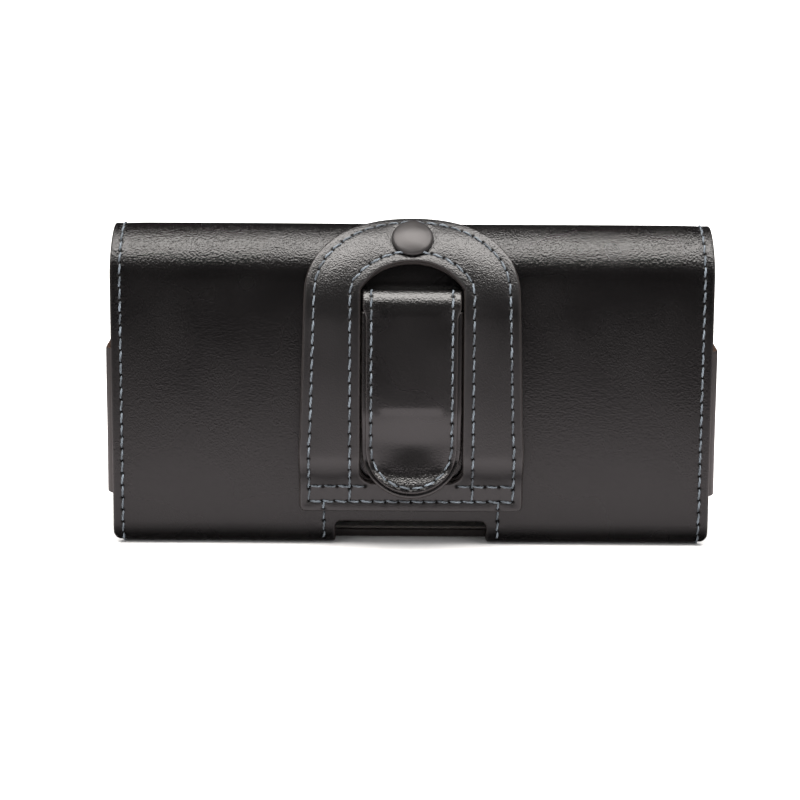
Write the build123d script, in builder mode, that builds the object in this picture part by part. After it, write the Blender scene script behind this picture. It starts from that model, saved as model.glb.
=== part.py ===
"""Leather belt pouch for a small camera, in separate pieces.

Frame in mm: origin at the bottom centre of the case, +Z up, -Y out of the belt side,
+X to the right when the belt side is seen. Sheet goods are modelled as curved layers of
constant thickness: leather outside, leatherboard in the middle, suede lining inside.
"""

import os
from math import asin, atan, cos, degrees, radians, sin, sqrt

from build123d import *

# Case envelope
case_w = 170.0
case_h = 90.5
half_depth = 12.0
bottom_r = 6.0
corner_r = 3.0
roll_r = 13.7
roll_y = 1.7
roll_z = case_h - roll_r
mouth_z = 68.0

# Sheet stack, outside to inside
leather_t = 1.3
board_t = 1.0
lining_t = 0.7
stack_t = leather_t + board_t + lining_t
board_inset = 0.5
lining_inset = 0.3
board_low_z = 8.2

# Fold lines of the flap, as elevations about the roll's centre
lift_el = 86.0
fold_el = 130.0
fold_gap = 0.15
flap_tip_z = 28.0
flap_corner_r = 14.0

# Stitching
thread_w = 0.8
thread_d = 0.5
side_stitch = 2.8
mouth_stitch = 2.8

# Push-out slot in the bottom edge of the belt side
slot_half = 21.6
slot_z = 7.0
slot_corner_r = 1.5
slot_front_y = -2.0
slot_stitch_x = 24.8

# Side gussets
gusset_t = 1.2
gusset_x = 87.0
gusset_low_z = 13.85
gusset_high_z = 56.3
gusset_flange_x = 74.0

# Belt loop plate: two leathers, flat foot, belt gap, then a sweep onto the roll
ply_t = 1.4
plate_t = 2 * ply_t
foot_low_z = 10.6
hinge_z = 18.6
rise_z = 25.6
loop_gap = 4.5
loop_y = -half_depth - loop_gap - plate_t
foot_y = -half_depth - plate_t
sweep_el = 44.0
plate_top_el = 84.0
view_el = 40.0
loop_half_low = 31.7
loop_half_high = 30.0
loop_side_v = 45.0
loop_apex_v = 70.0
shoulder_r = 20.0
window_half = 14.5
window_corner_v = 46.3
window_apex_v = 54.1
loop_stitch = 2.6
window_stitch = 2.9
foot_row_z = 13.5
foot_upper_row_z = 18.0
foot_upper_row_x = 13.0

# Spring clip in the loop's window
clip_half = 13.9
clip_y = -19.5
clip_top_z = 74.7
clip_fold_r = 3.3
clip_cover_t = 1.2
clip_spring_t = 1.0
clip_lining_t = 1.0
clip_core_half = 8.4
clip_core_low_z = 38.0
clip_round_z = 30.0
clip_flare_z = 27.0
clip_flare_r = 34.0
clip_stitch = 2.5
clip_leg_low_z = 30.0
clip_exit_z = 64.0
rivet_z = (37.0, 54.0)
rivet_r = 1.4
rivet_head_r = 2.8
rivet_head_t = 0.5

# Press stud
snap_el = 46.0
cap_r = 5.75
cap_top = 1.5
cap_rim = -0.2
thread_stop_r = 6.6
post_r = 1.5
socket_r = 5.4
socket_bore_r = 4.4
stud_r = 2.4
stud_neck_r = 1.9
stud_recess_r = 5.9

# Hidden magnets
magnet_r = 7.5
magnet_z = 44.0

far = 60.0
rise_sweep = 2 * degrees(atan((foot_y - loop_y) / (rise_z - hinge_z)))
rise_radii = (rise_z - hinge_z) / sin(radians(rise_sweep))
rise_r_low = 2.6
rise_r_high = rise_radii - rise_r_low
plate_r = roll_r + plate_t
sweep_cos = cos(radians(sweep_el))
sweep_r = (roll_y - loop_y - plate_r * sweep_cos) / (1 - sweep_cos)
sweep_z = roll_z - (sweep_r - plate_r) * sin(radians(sweep_el))
shoulder_x = loop_half_high - shoulder_r
crown_lift = loop_apex_v - loop_side_v - shoulder_r
crown_offset = (shoulder_x**2 + crown_lift**2) / (2 * crown_lift)
crown_r = shoulder_r + crown_offset
crown_v = loop_apex_v - crown_r
crown_sweep = degrees(asin(shoulder_x / crown_offset))
window_rise = window_apex_v - window_corner_v
window_r = (window_half**2 + window_rise**2) / (2 * window_rise)
window_v = window_apex_v - window_r
dome_r = (cap_r**2 + (cap_top - cap_rim) ** 2) / (2 * (cap_top - cap_rim))
dome_sweep = degrees(asin(cap_r / dome_r))
clip_fold_y = clip_y + clip_fold_r
clip_fold_z = clip_top_z - clip_fold_r
spring_mid = clip_cover_t + clip_spring_t / 2
spring_fold_r = clip_fold_r - spring_mid
leg_y = -half_depth + leather_t + board_t / 2
bend_shift = leg_y - clip_fold_y - spring_fold_r
bend_sweep = 2 * degrees(atan(bend_shift / (clip_fold_z - clip_exit_z)))
bend_r = (clip_fold_z - clip_exit_z) / 2 / sin(radians(bend_sweep))


def wrap_path(depth, front_z, elevation):
    """Section line of the wrap: down the front, under, up the back and over the roll."""
    side = half_depth - depth
    corner = half_depth - bottom_r
    Line((side, front_z), (side, bottom_r))
    CenterArc((corner, bottom_r), bottom_r - depth, 0, -90)
    Line((corner, depth), (-corner, depth))
    CenterArc((-corner, bottom_r), bottom_r - depth, 270, -90)
    back_path(depth, bottom_r, elevation)


def back_path(depth, low_z, elevation):
    """Section line of the back panel and the rear of the roll."""
    Line((depth - half_depth, low_z), (depth - half_depth, roll_z))
    CenterArc((roll_y, roll_z), roll_r - depth, 180, -elevation)


def front_path(depth, low_z, high_z):
    """Section line of the pocket's front panel."""
    Line((half_depth - depth, low_z), (half_depth - depth, high_z))


def base_path(depth, high_z):
    """Section line of the bottom and its two rounded edges."""
    side = half_depth - depth
    corner = half_depth - bottom_r
    Line((side, high_z), (side, bottom_r))
    CenterArc((corner, bottom_r), bottom_r - depth, 0, -90)
    Line((corner, depth), (-corner, depth))
    CenterArc((-corner, bottom_r), bottom_r - depth, 270, -90)
    Line((-side, bottom_r), (-side, high_z))


def roll_path(depth, low_el, high_el):
    """Section line of one stretch of the roll."""
    CenterArc((roll_y, roll_z), roll_r - depth, 180 - low_el, low_el - high_el)


def flap_path(depth, low_el, tip_z):
    """Section line of the front of the roll and the flap hanging from it."""
    roll_path(depth, low_el, 180)
    front = roll_y + roll_r - depth
    Line((front, roll_z), (front, tip_z))


def plate_path(depth):
    """Section line of the belt loop above its fold line."""
    sweep_y = loop_y + sweep_r
    CenterArc((foot_y - rise_r_low, hinge_z), rise_r_low + depth, 0, rise_sweep)
    CenterArc((loop_y + rise_r_high, rise_z), rise_r_high - depth, 180 + rise_sweep, -rise_sweep)
    Line((loop_y + depth, rise_z), (loop_y + depth, sweep_z))
    CenterArc((sweep_y, sweep_z), sweep_r - depth, 180, -sweep_el)
    CenterArc((roll_y, roll_z), plate_r - depth, 180 - sweep_el, sweep_el - plate_top_el)


def clip_path(depth):
    """Section line of the clip's front leg, from the top of the fold to the flared tip."""
    CenterArc((clip_fold_y, clip_fold_z), clip_fold_r - depth, 90, 90)
    clip_leg_path(depth, clip_fold_z)


def clip_leg_path(depth, high_z):
    """Section line of the clip's front leg below its fold."""
    Line((clip_y + depth, high_z), (clip_y + depth, clip_flare_z))
    CenterArc((clip_y - clip_flare_r, clip_flare_z), clip_flare_r + depth, 0, -22)


def spring_base_path():
    """Section line of the spring steel behind the fold, through the slit and down the panel."""
    CenterArc((clip_fold_y, clip_fold_z), spring_fold_r, 90, -90)
    bend_y = clip_fold_y + spring_fold_r + bend_r
    CenterArc((bend_y, clip_fold_z), bend_r, 180, bend_sweep)
    CenterArc((leg_y - bend_r, clip_exit_z), bend_r, bend_sweep, -bend_sweep)
    Line((leg_y, clip_exit_z), (leg_y, clip_leg_low_z))


def cover_back_path():
    """Section line of the leather that turns down behind the fold."""
    CenterArc((clip_fold_y, clip_fold_z), clip_fold_r - clip_cover_t / 2, 90, -90)
    bend_y = clip_fold_y + spring_fold_r + bend_r
    CenterArc((bend_y, clip_fold_z), bend_r - clip_spring_t / 2 - clip_cover_t / 2, 180, 35)


def gusset_path(side):
    """Plan line of a gusset: flange, outward bulge, flange."""
    flange_y = half_depth - stack_t - gusset_t / 2
    bulge_x = gusset_x - gusset_t / 2
    bend = 3.4
    inner = side * gusset_flange_x
    start = side * (bulge_x - bend)
    Line((inner, -flange_y), (start, -flange_y))
    RadiusArc((start, -flange_y), (side * bulge_x, bend - flange_y), -side * bend)
    Line((side * bulge_x, bend - flange_y), (side * bulge_x, flange_y - bend))
    RadiusArc((side * bulge_x, flange_y - bend), (start, flange_y), -side * bend)
    Line((start, flange_y), (inner, flange_y))


def band(path, thickness, *args):
    """Section of a sheet of constant thickness, drawn in the YZ plane."""
    with BuildSketch(Plane.YZ) as section:
        with BuildLine():
            path(*args)
        trace(line_width=thickness)
    return section.sketch


def panel_outline(inset, low_z, corner):
    """Straight-sided outline seen from the belt side, with rounded lower corners."""
    high_z = case_h + far
    with BuildSketch(Plane.XZ) as outline:
        with Locations((0, (low_z + high_z) / 2)):
            RectangleRounded(case_w - 2 * inset, high_z - low_z, corner)
    return outline.sketch


def plate_outline(grow):
    """Outline of the belt loop, seen square to its swept top, grown outwards."""
    with BuildSketch(plate_view) as outline:
        with BuildLine():
            high = loop_half_high + grow
            low = loop_half_low + grow
            Polyline((-high, loop_side_v), (-low, 0), (-low, -far), (low, -far), (low, 0), (high, loop_side_v))
            shoulder = 90 - crown_sweep
            CenterArc((shoulder_x, loop_side_v), shoulder_r + grow, 0, shoulder)
            CenterArc((0, crown_v), crown_r + grow, shoulder, 2 * crown_sweep)
            CenterArc((-shoulder_x, loop_side_v), shoulder_r + grow, 180 - shoulder, shoulder)
        make_face()
    return outline.sketch


def window_outline(grow):
    """Outline of the loop's window: straight sides and an arched top, grown outwards."""
    half = window_half + grow
    corner_v = window_v + sqrt((window_r + grow) ** 2 - half**2)
    with BuildSketch(plate_view) as outline:
        with BuildLine():
            Polyline((-half, corner_v), (-half, -far), (half, -far), (half, corner_v))
            ThreePointArc((half, corner_v), (0, window_apex_v + grow), (-half, corner_v))
        make_face()
    return outline.sketch


def clip_outline(inset, low_r, high_z):
    """Outline of the clip: straight sides and a half-round tip."""
    half = clip_half - inset
    with BuildSketch(Plane.XZ) as outline:
        with Locations((0, (clip_round_z + high_z) / 2)):
            Rectangle(2 * half, high_z - clip_round_z)
        with Locations((0, clip_round_z)):
            Circle(low_r)
    return outline.sketch


def turned(points):
    """Revolve a closed profile of radius and height about the press stud's axis."""
    with BuildPart() as body:
        with BuildSketch(snap_profile):
            with BuildLine():
                Polyline(*points, close=True)
            make_face()
        revolve(axis=snap_axis)
    return body.part


plate_view = Plane(
    origin=(0, 0, 0), x_dir=(1, 0, 0), z_dir=(0, -cos(radians(view_el)), sin(radians(view_el)))
)
snap_out = Vector(0, -cos(radians(snap_el)), sin(radians(snap_el)))
snap_at = Vector(0, roll_y, roll_z) + snap_out * plate_r
snap_axis = Axis(tuple(snap_at), tuple(snap_out))
snap_profile = Plane(
    origin=tuple(snap_at),
    x_dir=(1, 0, 0),
    z_dir=(0, -sin(radians(snap_el)), -cos(radians(snap_el))),
)
case_el = lift_el - fold_gap
os.makedirs("parts", exist_ok=True)

# --- Press stud ---------------------------------------------------------------

# Domed cap on the loop, its rim pressed into the leather and its post through it.
with BuildPart() as snap_cap:
    with BuildSketch(snap_profile):
        with BuildLine():
            Polyline((0, cap_top), (0, -1.9), (post_r, -1.9), (post_r, -1), (cap_r, -1), (cap_r, cap_rim))
            CenterArc((0, cap_top - dome_r), dome_r, 90 - dome_sweep, dome_sweep)
        make_face()
    revolve(axis=snap_axis)

# Socket cup in the loop's inner leather, open towards the case.
with BuildPart() as snap_socket:
    add(
        turned(
            [
                (post_r, -1.4),
                (socket_r, -1.4),
                (socket_r, -3.2),
                (socket_bore_r, -3.2),
                (socket_bore_r, -1.9),
                (post_r, -1.9),
            ]
        )
    )

# Stud with a round head on the case's roll.
with BuildPart() as snap_stud:
    add(
        turned(
            [
                (0, -2.1),
                (1.6, -2.1),
                (stud_r, -2.5),
                (stud_r, -2.8),
                (stud_neck_r, -3.0),
                (stud_neck_r, -3.3),
                (3.4, -3.3),
                (3.4, -3.8),
                (1.2, -3.8),
                (1.2, -5.7),
                (0, -5.7),
            ]
        )
    )

# Flat washer under the lining that holds the stud.
with BuildPart() as snap_back:
    add(turned([(0, -5.7), (3.5, -5.7), (3.5, -6.3), (0, -6.3)]))

# --- Rivets of the spring clip ------------------------------------------------


def clip_rivet(height):
    """Flush rivet through the back leather and the spring's leg."""
    with BuildPart() as body:
        with BuildSketch(Plane.XZ.offset(-leg_y - board_t / 2)):
            with Locations((0, height)):
                Circle(rivet_r)
        extrude(amount=half_depth + leg_y + board_t / 2)
        with BuildSketch(Plane.XZ.offset(half_depth - rivet_head_t)):
            with Locations((0, height)):
                Circle(rivet_head_r)
        extrude(amount=rivet_head_t)
    return body.part


with BuildPart() as clip_rivet_lower:
    add(clip_rivet(rivet_z[0]))

with BuildPart() as clip_rivet_upper:
    add(clip_rivet(rivet_z[1]))

# --- Threads of the case, as ribbons let into the leather ---------------------

# Side rows from the pocket's mouth under the bottom to the roll, and the row along the mouth.
with BuildPart() as shell_thread:
    extrude(
        band(wrap_path, thread_d, thread_d / 2, mouth_z - 1, case_el - 3),
        amount=case_w / 2 - side_stitch + thread_w / 2,
        both=True,
    )
    with BuildSketch(Plane.XZ) as keep_rows:
        inner = case_w / 2 - side_stitch - thread_w / 2
        for side in (-1, 1):
            with Locations((side * (inner + thread_w / 2), case_h / 2)):
                Rectangle(thread_w, case_h + 2)
    extrude(amount=far, both=True, mode=Mode.INTERSECT)
    with BuildSketch(Plane.XZ.offset(-half_depth)):
        with Locations((0, mouth_z - mouth_stitch)):
            Rectangle(2 * inner, thread_w)
    extrude(amount=thread_d)

# Short rows up each side of the push-out slot.
with BuildPart() as slot_thread:
    extrude(
        band(wrap_path, thread_d, thread_d / 2, mouth_z, 10),
        amount=slot_stitch_x + thread_w / 2,
        both=True,
    )
    with BuildSketch(Plane.XZ):
        for side in (-1, 1):
            with Locations((side * slot_stitch_x, (1.5 + foot_low_z) / 2)):
                Rectangle(thread_w, foot_low_z - 1.5)
    extrude(amount=far, mode=Mode.INTERSECT)

# --- Spring clip ---------------------------------------------------------------

# Spring steel behind the fold: riveted leg, bend through the slit, rear half of the fold.
with BuildPart() as clip_base:
    extrude(band(spring_base_path, clip_spring_t), amount=clip_core_half, both=True)
    add([clip_rivet_lower.part, clip_rivet_upper.part], mode=Mode.SUBTRACT)

# Leather turned down behind the fold.
with BuildPart() as clip_cover_back:
    extrude(band(cover_back_path, clip_cover_t), amount=clip_half, both=True)

# Spring steel in front of the fold, ending inside the leather.
with BuildPart() as clip_spring:
    extrude(band(clip_path, clip_spring_t, spring_mid), amount=clip_core_half, both=True)
    with BuildSketch(Plane.XZ):
        with Locations((0, (clip_core_low_z + case_h) / 2)):
            RectangleRounded(2 * clip_core_half, case_h - clip_core_low_z, 3)
    extrude(amount=far, mode=Mode.INTERSECT)
    with BuildSketch(Plane.XY):
        with Locations((0, clip_fold_y - far / 2 - fold_gap / 4)):
            Rectangle(far, far)
    extrude(amount=case_h, mode=Mode.INTERSECT)

# Row of stitches down both sides and round the tip.
with BuildPart() as clip_thread:
    extrude(band(clip_path, thread_d, thread_d / 2), amount=clip_half, both=True)
    extrude(
        clip_outline(clip_stitch - thread_w / 2, clip_half - clip_stitch + thread_w / 2, case_h),
        amount=far,
        mode=Mode.INTERSECT,
    )
    extrude(
        clip_outline(clip_stitch + thread_w / 2, clip_half - clip_stitch - thread_w / 2, case_h),
        amount=far,
        mode=Mode.SUBTRACT,
    )
    with BuildSketch(Plane.XY):
        with Locations((0, clip_fold_y - far / 2 - fold_gap / 4)):
            Rectangle(far, far)
    extrude(amount=case_h, mode=Mode.INTERSECT)

# Outer leather of the clip, over the fold and down to the flared tip.
with BuildPart() as clip_cover_outer:
    extrude(band(clip_path, clip_cover_t, clip_cover_t / 2), amount=clip_half, both=True)
    extrude(clip_outline(0, clip_half, case_h), amount=far, mode=Mode.INTERSECT)
    with BuildSketch(Plane.XY):
        with Locations((0, clip_fold_y - far / 2 - fold_gap / 4)):
            Rectangle(far, far)
    extrude(amount=case_h, mode=Mode.INTERSECT)
    add(clip_thread.part, mode=Mode.SUBTRACT)

# Leatherboard that fills round the steel between the two leathers.
with BuildPart() as clip_filler:
    extrude(
        band(clip_leg_path, clip_spring_t, spring_mid, clip_fold_z - 0.9),
        amount=clip_half,
        both=True,
    )
    extrude(clip_outline(0, clip_half, case_h), amount=far, mode=Mode.INTERSECT)
    add(clip_spring.part, mode=Mode.SUBTRACT)

# Inner leather of the clip, on the belt's side.
with BuildPart() as clip_cover_inner:
    extrude(
        band(
            clip_leg_path,
            clip_lining_t,
            clip_cover_t + clip_spring_t + clip_lining_t / 2,
            clip_fold_z - 0.9,
        ),
        amount=clip_half,
        both=True,
    )
    extrude(clip_outline(0, clip_half, case_h), amount=far, mode=Mode.INTERSECT)

# --- Case ----------------------------------------------------------------------


# Space of the push-out slot, from the belt side to the middle of the bottom.
with BuildPart() as slot_space:
    with BuildSketch(Plane.XZ.offset(-slot_front_y)):
        with Locations((0, slot_z / 2 - 5)):
            RectangleRounded(2 * slot_half, slot_z + 10, slot_corner_r)
    extrude(amount=slot_front_y + half_depth + 1)


# Outer leather: pocket front, bottom, back panel and the rear of the roll in one hide.
with BuildPart() as shell_leather:
    extrude(
        band(wrap_path, leather_t, leather_t / 2, mouth_z, case_el),
        amount=case_w / 2,
        both=True,
    )
    extrude(panel_outline(0, 0, corner_r), amount=far, both=True, mode=Mode.INTERSECT)
    add(slot_space.part, mode=Mode.SUBTRACT)
    with BuildSketch(Plane.XZ):
        with Locations((0, clip_exit_z + 2.9)):
            Rectangle(2 * clip_core_half + 1, 6.4)
    extrude(amount=far, mode=Mode.SUBTRACT)
    add(
        [
            shell_thread.part,
            slot_thread.part,
            clip_rivet_lower.part,
            clip_rivet_upper.part,
            snap_stud.part,
            turned([(0, 0), (stud_recess_r, 0), (stud_recess_r, -3.3), (0, -3.3)]),
        ],
        mode=Mode.SUBTRACT,
    )

# Suede lining of the whole pocket.
with BuildPart() as shell_lining:
    extrude(
        band(wrap_path, lining_t, stack_t - lining_t / 2, mouth_z - 0.4, case_el),
        amount=case_w / 2 - lining_inset,
        both=True,
    )
    add(slot_space.part, mode=Mode.SUBTRACT)
    add([snap_stud.part, snap_back.part], mode=Mode.SUBTRACT)

# Stiffener of the back panel and roll, windowed for the spring's leg.
with BuildPart() as back_board:
    extrude(
        band(back_path, board_t, leather_t + board_t / 2, board_low_z, case_el),
        amount=case_w / 2 - board_inset,
        both=True,
    )
    with BuildSketch(Plane.XZ):
        with Locations((0, (clip_leg_low_z - 1 + clip_exit_z + 6.5) / 2)):
            Rectangle(2 * clip_core_half + 1, clip_exit_z - clip_leg_low_z + 7.5)
    extrude(amount=far, mode=Mode.SUBTRACT)
    add(snap_stud.part, mode=Mode.SUBTRACT)

# Steel disc under the front leather that the flap's magnet finds.
with BuildPart() as pocket_keeper:
    with BuildSketch(Plane.XZ.offset(leather_t + board_t - half_depth)):
        with Locations((0, magnet_z)):
            Circle(magnet_r)
    extrude(amount=-board_t)

# Stiffener of the pocket's front.
with BuildPart() as front_board:
    extrude(
        band(front_path, board_t, leather_t + board_t / 2, board_low_z, mouth_z - 0.6),
        amount=case_w / 2 - board_inset,
        both=True,
    )
    add(pocket_keeper.part, mode=Mode.SUBTRACT)

# Stiffener of the bottom, slotted like the leather.
with BuildPart() as base_board:
    extrude(
        band(base_path, board_t, leather_t + board_t / 2, board_low_z - 0.3),
        amount=case_w / 2 - board_inset,
        both=True,
    )
    add(slot_space.part, mode=Mode.SUBTRACT)


def gusset(side):
    """Folded side wall between the two panels."""
    mid_z = (gusset_low_z + gusset_high_z) / 2
    with BuildPart() as body:
        with BuildSketch(Plane.XY.offset(gusset_low_z)):
            with BuildLine():
                gusset_path(side)
            trace(line_width=gusset_t)
        extrude(amount=gusset_high_z - gusset_low_z)
        with BuildSketch(Plane.XZ):
            with Locations((side * (gusset_x - 15), mid_z)):
                RectangleRounded(30, gusset_high_z - gusset_low_z, 2)
        extrude(amount=far, both=True, mode=Mode.INTERSECT)
    return body.part


with BuildPart() as gusset_left:
    add(gusset(-1))

with BuildPart() as gusset_right:
    add(gusset(1))

# --- Flap ----------------------------------------------------------------------

top_low = lift_el + fold_gap
top_high = fold_el - fold_gap
flap_low = fold_el + fold_gap

# Side rows of the strip over the top.
with BuildPart() as flap_top_thread:
    extrude(
        band(roll_path, thread_d, thread_d / 2, top_low, top_high),
        amount=case_w / 2 - side_stitch + thread_w / 2,
        both=True,
    )
    with BuildSketch(Plane.XY.offset(roll_z)):
        for side in (-1, 1):
            with Locations((side * (case_w / 2 - side_stitch), 0)):
                Rectangle(thread_w, far)
    extrude(amount=2 * roll_r, mode=Mode.INTERSECT)

# Strip of the hide between the two fold lines.
with BuildPart() as flap_top_leather:
    extrude(
        band(roll_path, leather_t, leather_t / 2, top_low, top_high),
        amount=case_w / 2,
        both=True,
    )
    add(flap_top_thread.part, mode=Mode.SUBTRACT)

with BuildPart() as flap_top_board:
    extrude(
        band(roll_path, board_t, leather_t + board_t / 2, top_low, top_high),
        amount=case_w / 2 - board_inset,
        both=True,
    )

with BuildPart() as flap_top_lining:
    extrude(
        band(roll_path, lining_t, stack_t - lining_t / 2, top_low, top_high),
        amount=case_w / 2 - lining_inset,
        both=True,
    )

# Row down both edges of the flap and round its lower corners.
with BuildPart() as flap_thread:
    extrude(
        band(flap_path, thread_d, thread_d / 2, flap_low, flap_tip_z),
        amount=case_w / 2,
        both=True,
    )
    reach = side_stitch - thread_w / 2
    extrude(
        panel_outline(reach, flap_tip_z + reach, flap_corner_r - reach),
        amount=-far,
        mode=Mode.INTERSECT,
    )
    reach = side_stitch + thread_w / 2
    extrude(
        panel_outline(reach, flap_tip_z + reach, flap_corner_r - reach),
        amount=-far,
        mode=Mode.SUBTRACT,
    )

# Outer leather of the flap.
with BuildPart() as flap_leather:
    extrude(
        band(flap_path, leather_t, leather_t / 2, flap_low, flap_tip_z),
        amount=case_w / 2,
        both=True,
    )
    extrude(panel_outline(0, flap_tip_z, flap_corner_r), amount=-far, mode=Mode.INTERSECT)
    add(flap_thread.part, mode=Mode.SUBTRACT)

# Magnet let into the flap's stiffener.
with BuildPart() as flap_magnet:
    with BuildSketch(Plane.XZ.offset(leather_t - roll_y - roll_r)):
        with Locations((0, magnet_z)):
            Circle(magnet_r)
    extrude(amount=board_t)

# Stiffener of the flap.
with BuildPart() as flap_board:
    extrude(
        band(flap_path, board_t, leather_t + board_t / 2, flap_low, flap_tip_z + board_inset),
        amount=case_w / 2 - board_inset,
        both=True,
    )
    extrude(
        panel_outline(board_inset, flap_tip_z + board_inset, flap_corner_r - board_inset),
        amount=-far,
        mode=Mode.INTERSECT,
    )
    add(flap_magnet.part, mode=Mode.SUBTRACT)

# Suede lining of the flap.
with BuildPart() as flap_lining:
    extrude(
        band(flap_path, lining_t, stack_t - lining_t / 2, flap_low, flap_tip_z + lining_inset),
        amount=case_w / 2 - lining_inset,
        both=True,
    )
    extrude(
        panel_outline(lining_inset, flap_tip_z + lining_inset, flap_corner_r - lining_inset),
        amount=-far,
        mode=Mode.INTERSECT,
    )

# --- Belt loop -----------------------------------------------------------------

foot_half = loop_half_low - (loop_half_low - loop_half_high) * 4.7 / loop_side_v


def foot_outline():
    """Outline of the stitched foot, with eased lower corners."""
    with BuildSketch(Plane.XZ) as outline:
        with Locations((0, hinge_z)):
            RectangleRounded(2 * foot_half, 2 * (hinge_z - foot_low_z), 1.5)
        with Locations((0, hinge_z + 10)):
            Rectangle(2 * far, 20, mode=Mode.SUBTRACT)
    return outline.sketch


# Rows that sew the foot to the back panel.
with BuildPart() as loop_base_thread:
    edge_x = foot_half - loop_stitch
    window_x = window_half + window_stitch
    with BuildSketch(Plane.XZ.offset(half_depth + plate_t - thread_d)):
        with Locations((0, foot_row_z)):
            Rectangle(2 * edge_x + thread_w, thread_w)
        for side in (-1, 1):
            with Locations((side * (edge_x + foot_upper_row_x) / 2, foot_upper_row_z)):
                Rectangle(edge_x - foot_upper_row_x, thread_w)
            for row_x in (edge_x, window_x):
                with Locations((side * row_x, (foot_row_z + hinge_z) / 2)):
                    Rectangle(thread_w, hinge_z - foot_row_z)
            with Locations((side * slot_stitch_x, (foot_row_z + foot_low_z) / 2)):
                Rectangle(thread_w, foot_row_z - foot_low_z)
    extrude(amount=thread_d)

# Outer leather of the foot.
with BuildPart() as loop_foot:
    extrude(foot_outline(), amount=half_depth + plate_t)
    with BuildSketch(Plane.XZ):
        with Locations((0, hinge_z / 2)):
            Rectangle(2 * far, 2 * hinge_z)
    extrude(amount=half_depth + ply_t, mode=Mode.SUBTRACT)
    add(loop_base_thread.part, mode=Mode.SUBTRACT)

# Inner leather of the foot.
with BuildPart() as loop_foot_backing:
    extrude(foot_outline(), amount=half_depth + ply_t)
    with BuildSketch(Plane.XZ):
        with Locations((0, hinge_z / 2)):
            Rectangle(2 * far, 2 * hinge_z)
    extrude(amount=half_depth, mode=Mode.SUBTRACT)

# Row just inside the loop's outer edge, passing under the cap.
with BuildPart() as loop_edge_thread:
    extrude(band(plate_path, thread_d, thread_d / 2), amount=far, both=True)
    extrude(plate_outline(thread_w / 2 - loop_stitch), amount=2 * far, both=True, mode=Mode.INTERSECT)
    extrude(plate_outline(-thread_w / 2 - loop_stitch), amount=2 * far, both=True, mode=Mode.SUBTRACT)
    with BuildSketch(Plane.XY.offset(hinge_z + fold_gap / 2)):
        Rectangle(2 * far, 2 * far)
    extrude(amount=2 * far, mode=Mode.INTERSECT)
    add(turned([(0, 3), (thread_stop_r, 3), (thread_stop_r, -3), (0, -3)]), mode=Mode.SUBTRACT)

# Row round the window.
with BuildPart() as loop_window_thread:
    extrude(band(plate_path, thread_d, thread_d / 2), amount=far, both=True)
    extrude(window_outline(window_stitch + thread_w / 2), amount=2 * far, both=True, mode=Mode.INTERSECT)
    extrude(window_outline(window_stitch - thread_w / 2), amount=2 * far, both=True, mode=Mode.SUBTRACT)
    with BuildSketch(Plane.XY.offset(hinge_z + fold_gap / 2)):
        Rectangle(2 * far, 2 * far)
    extrude(amount=2 * far, mode=Mode.INTERSECT)
    add(turned([(0, 3), (thread_stop_r, 3), (thread_stop_r, -3), (0, -3)]), mode=Mode.SUBTRACT)


def plate_ply(depth):
    """One leather of the loop above the fold line, windowed."""
    with BuildPart() as body:
        extrude(band(plate_path, ply_t, depth), amount=far, both=True)
        extrude(plate_outline(0), amount=2 * far, both=True, mode=Mode.INTERSECT)
        extrude(window_outline(0), amount=2 * far, both=True, mode=Mode.SUBTRACT)
        with BuildSketch(Plane.XY.offset(hinge_z + fold_gap / 2)):
            Rectangle(2 * far, 2 * far)
        extrude(amount=2 * far, mode=Mode.INTERSECT)
    return body.part


# Outer leather of the loop.
with BuildPart() as loop_leather:
    add(plate_ply(ply_t / 2))
    add([loop_edge_thread.part, loop_window_thread.part, snap_cap.part], mode=Mode.SUBTRACT)
    add(turned([(0, -1.4), (socket_r, -1.4), (socket_r, -6), (0, -6)]), mode=Mode.SUBTRACT)

# Inner leather of the loop, bored for the socket.
with BuildPart() as loop_backing:
    add(plate_ply(1.5 * ply_t))
    add(turned([(0, -1.4), (socket_r, -1.4), (socket_r, -6), (0, -6)]), mode=Mode.SUBTRACT)

pieces = {
    "shell_leather": shell_leather,
    "shell_lining": shell_lining,
    "back_board": back_board,
    "front_board": front_board,
    "base_board": base_board,
    "pocket_keeper": pocket_keeper,
    "gusset_left": gusset_left,
    "gusset_right": gusset_right,
    "shell_thread": shell_thread,
    "slot_thread": slot_thread,
    "loop_foot": loop_foot,
    "loop_foot_backing": loop_foot_backing,
    "loop_base_thread": loop_base_thread,
    "clip_base": clip_base,
    "clip_cover_back": clip_cover_back,
    "clip_rivet_lower": clip_rivet_lower,
    "clip_rivet_upper": clip_rivet_upper,
    "snap_stud": snap_stud,
    "snap_back": snap_back,
    "flap_top_leather": flap_top_leather,
    "flap_top_board": flap_top_board,
    "flap_top_lining": flap_top_lining,
    "flap_top_thread": flap_top_thread,
    "flap_leather": flap_leather,
    "flap_board": flap_board,
    "flap_lining": flap_lining,
    "flap_magnet": flap_magnet,
    "flap_thread": flap_thread,
    "loop_leather": loop_leather,
    "loop_backing": loop_backing,
    "loop_edge_thread": loop_edge_thread,
    "loop_window_thread": loop_window_thread,
    "snap_cap": snap_cap,
    "snap_socket": snap_socket,
    "clip_spring": clip_spring,
    "clip_cover_outer": clip_cover_outer,
    "clip_filler": clip_filler,
    "clip_cover_inner": clip_cover_inner,
    "clip_thread": clip_thread,
}
for label, piece in pieces.items():
    piece.part.label = label
    export_step(piece.part, f"parts/{label}.step")
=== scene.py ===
"""Looks of the leather belt case: leather sheets, stitches, hardware, floor, lights and camera.

Shapes are worked out in millimetres, in the frame of the CAD. A sheet of leather is drawn flat in (x, s),
where s is the length along the sheet's section line, and is then bent along that line.
"""

import math

import bmesh
import bpy
import numpy as np
from mathutils import Matrix, Vector, geometry


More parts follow.
